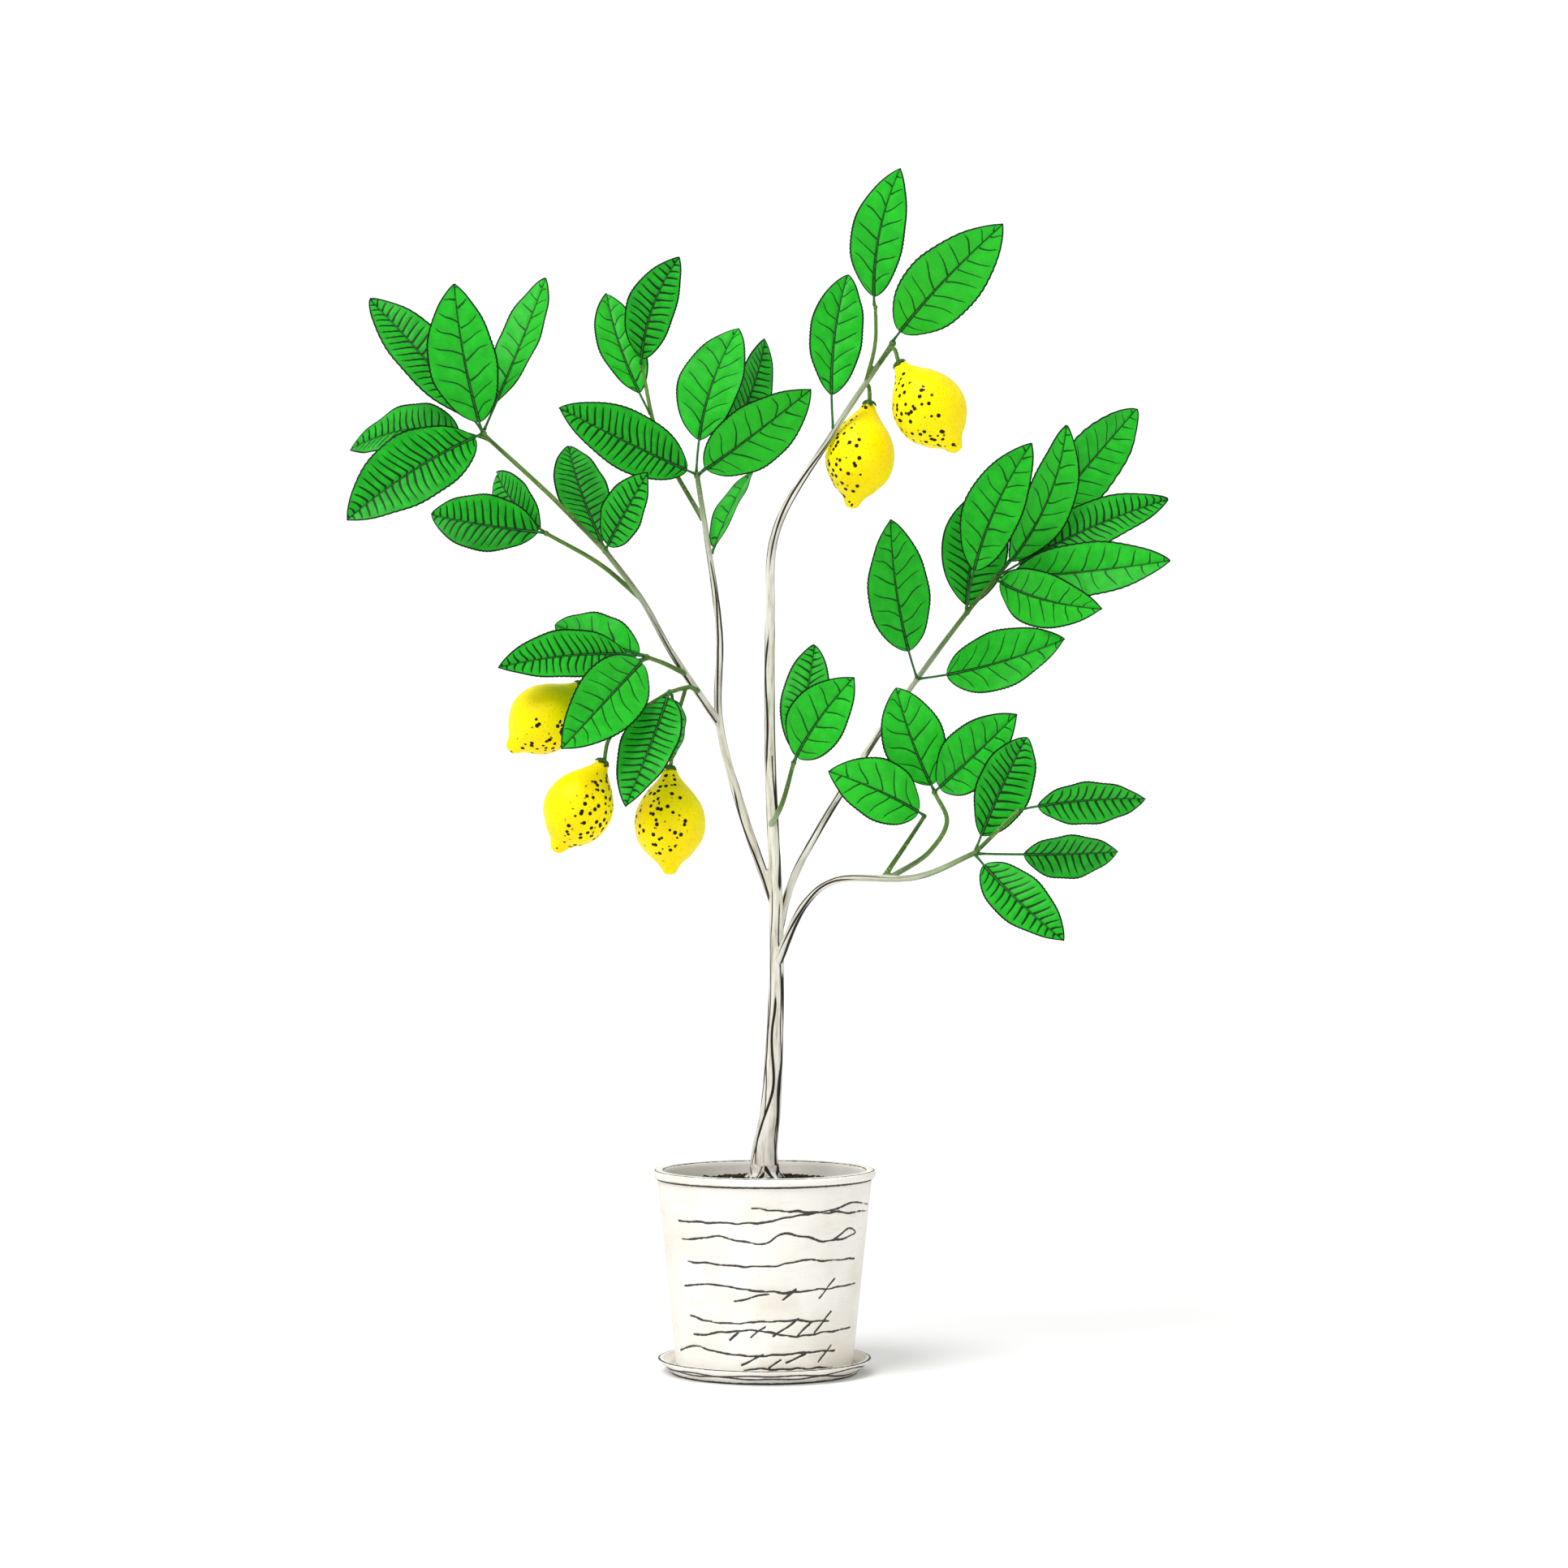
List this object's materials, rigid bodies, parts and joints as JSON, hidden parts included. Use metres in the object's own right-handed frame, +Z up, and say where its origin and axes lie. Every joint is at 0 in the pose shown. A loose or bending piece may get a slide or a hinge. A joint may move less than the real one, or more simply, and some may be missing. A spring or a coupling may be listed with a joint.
{
  "type": "potted lemon tree",
  "caption": "Young lemon tree with glossy oval leaves and ripe fruit on slender spreading limbs, in a tapered stoneware pot standing on a shallow saucer.",
  "frame": {"origin": "centre of the saucer's flat underside, on the surface the plant stands on", "axes": "+Z up, along the trunk; -Y towards the side the plant is looked at from; +X to that viewer's right"},
  "size_m": [0.7179, 0.403, 1.0292],
  "materials": {
    "stoneware": "matte",
    "soil": "matte",
    "bark": "matte",
    "leaf": "satin",
    "rind": "satin",
    "calyx": "matte"
  },
  "bodies": {
    "root": {"saucer": "stoneware", "pot": "stoneware", "soil": "soil", "trunk_and_branches": "bark", "leaf_left_fan_1": "leaf", "leaf_left_fan_2": "leaf", "leaf_left_fan_3": "leaf", "leaf_left_fan_4": "leaf", "leaf_left_fan_5": "leaf", "leaf_left_low_1": "leaf", "leaf_left_low_2": "leaf", "leaf_left_inner_1": "leaf", "leaf_left_inner_2": "leaf", "leaf_middle_1": "leaf", "leaf_middle_2": "leaf", "leaf_middle_3": "leaf", "leaf_middle_4": "leaf", "leaf_middle_5": "leaf", "leaf_middle_back_1": "leaf", "leaf_middle_back_2": "leaf", "leaf_top_1": "leaf", "leaf_top_2": "leaf", "leaf_top_3": "leaf", "leaf_right_fan_1": "leaf", "leaf_right_fan_2": "leaf", "leaf_right_fan_3": "leaf", "leaf_right_fan_4": "leaf", "leaf_right_fan_5": "leaf", "leaf_right_fan_6": "leaf", "leaf_right_fan_7": "leaf", "leaf_right_pair_1": "leaf", "leaf_right_pair_2": "leaf", "leaf_inner_1": "leaf", "leaf_inner_2": "leaf", "leaf_right_low_1": "leaf", "leaf_right_low_2": "leaf", "leaf_right_low_3": "leaf", "leaf_right_low_4": "leaf", "leaf_right_tips_1": "leaf", "leaf_right_tips_2": "leaf", "leaf_right_tips_3": "leaf", "leaf_spray_1": "leaf", "leaf_spray_2": "leaf", "leaf_spray_3": "leaf", "leaf_spray_4": "leaf", "leaf_spray_5": "leaf", "lemon_top_right": "rind", "calyx_top_right": "calyx", "lemon_top_left": "rind", "calyx_top_left": "calyx", "lemon_spray_left": "rind", "calyx_spray_left": "calyx", "lemon_spray_middle": "rind", "calyx_spray_middle": "calyx", "lemon_spray_right": "rind", "calyx_spray_right": "calyx"}
  },
  "joints": []
}
